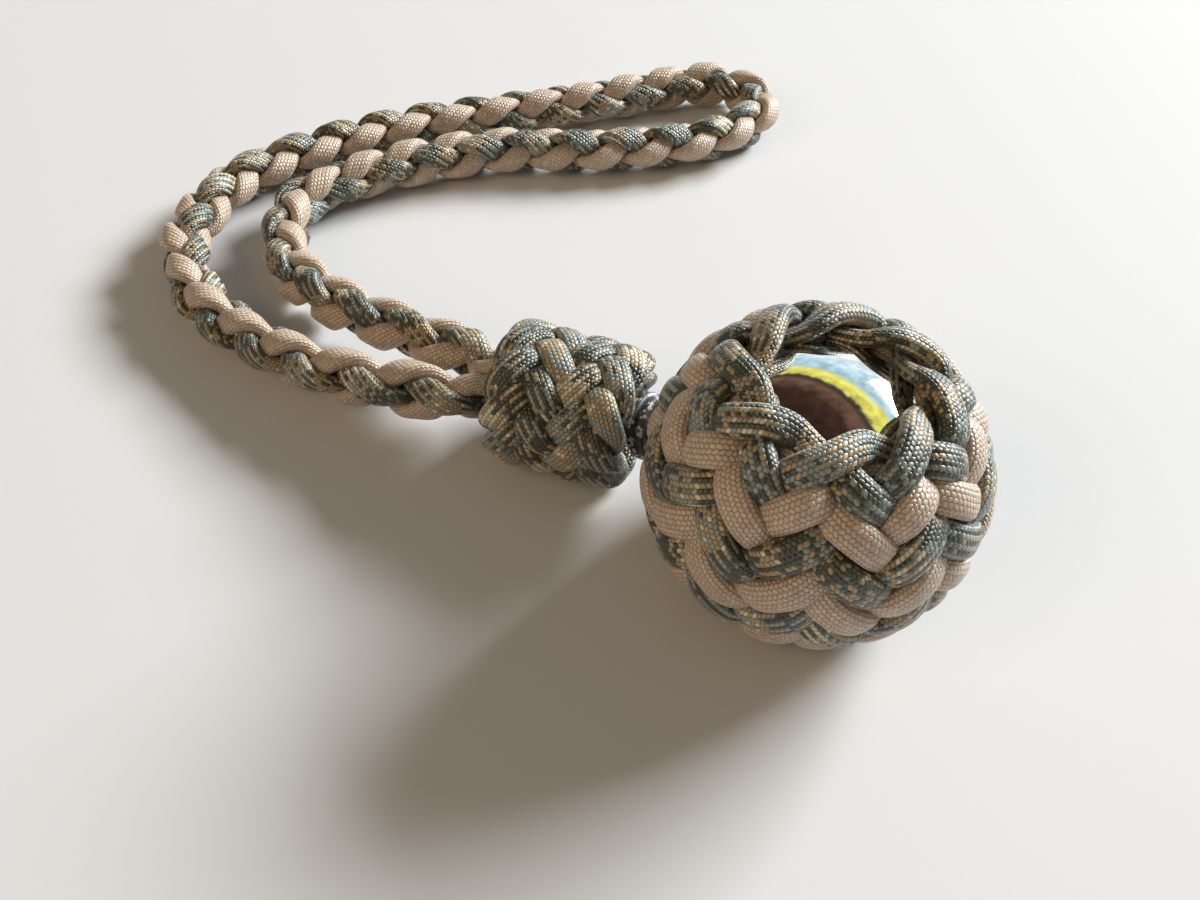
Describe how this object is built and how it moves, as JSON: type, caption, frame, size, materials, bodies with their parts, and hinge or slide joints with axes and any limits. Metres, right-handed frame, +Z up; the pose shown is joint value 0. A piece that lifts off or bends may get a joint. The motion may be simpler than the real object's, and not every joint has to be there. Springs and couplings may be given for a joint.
{
  "type": "monkey fist knot",
  "caption": "Steel ball held in a woven two-cord knot, with a short whipped neck, a woven collar knot and a braided cord lanyard loop.",
  "frame": {"origin": "on the surface that the part lies on, under the middle of the box round the fist, the neck and the collar", "axes": "+Z up; +X from the collar side towards the fist; +Y away from the viewer, towards the lanyard's loop"},
  "size_m": [0.1474, 0.1672, 0.043],
  "materials": {
    "polished_steel": "mirror-polished steel",
    "tan_cord": "braided nylon sheath, plain tan",
    "camo_cord": "braided nylon sheath in dark green, grey-green and tan patches",
    "speckled_cord": "thin braided cord, black with white flecks"
  },
  "bodies": {
    "lanyard": {"collar_knot_cord": "camo_cord", "lanyard_root_tan_strand_1": "tan_cord", "lanyard_root_tan_strand_2": "tan_cord", "lanyard_root_tan_strand_3": "tan_cord", "lanyard_root_tan_strand_4": "tan_cord", "lanyard_root_camo_strand_1": "camo_cord", "lanyard_root_camo_strand_2": "camo_cord", "lanyard_root_camo_strand_3": "camo_cord", "lanyard_root_camo_strand_4": "camo_cord", "lanyard_braid": "tan_cord"},
    "neck": {"neck_whipping_cord": "speckled_cord", "neck_strand_tan_1": "tan_cord", "neck_strand_tan_2": "tan_cord", "neck_strand_camo_1": "camo_cord", "neck_strand_camo_2": "camo_cord"},
    "fist": {"steel_ball": "polished_steel", "ball_cover_camo_cord": "camo_cord", "ball_cover_tan_cord": "tan_cord"}
  },
  "joints": [
    {"name": "neck_swing", "type": "hinge", "parent": "lanyard", "child": "neck", "pos_m": [-0.01384, 0.01265, 0.01211], "axis": [0, 0, 1], "range_deg": [-10, 43]},
    {"name": "fist_nod", "type": "hinge", "parent": "neck", "child": "fist", "pos_m": [-0.01127, 0.01097, 0.01301], "axis": [-0.5476, -0.8368, 0], "range_deg": [-40, 25]}
  ]
}
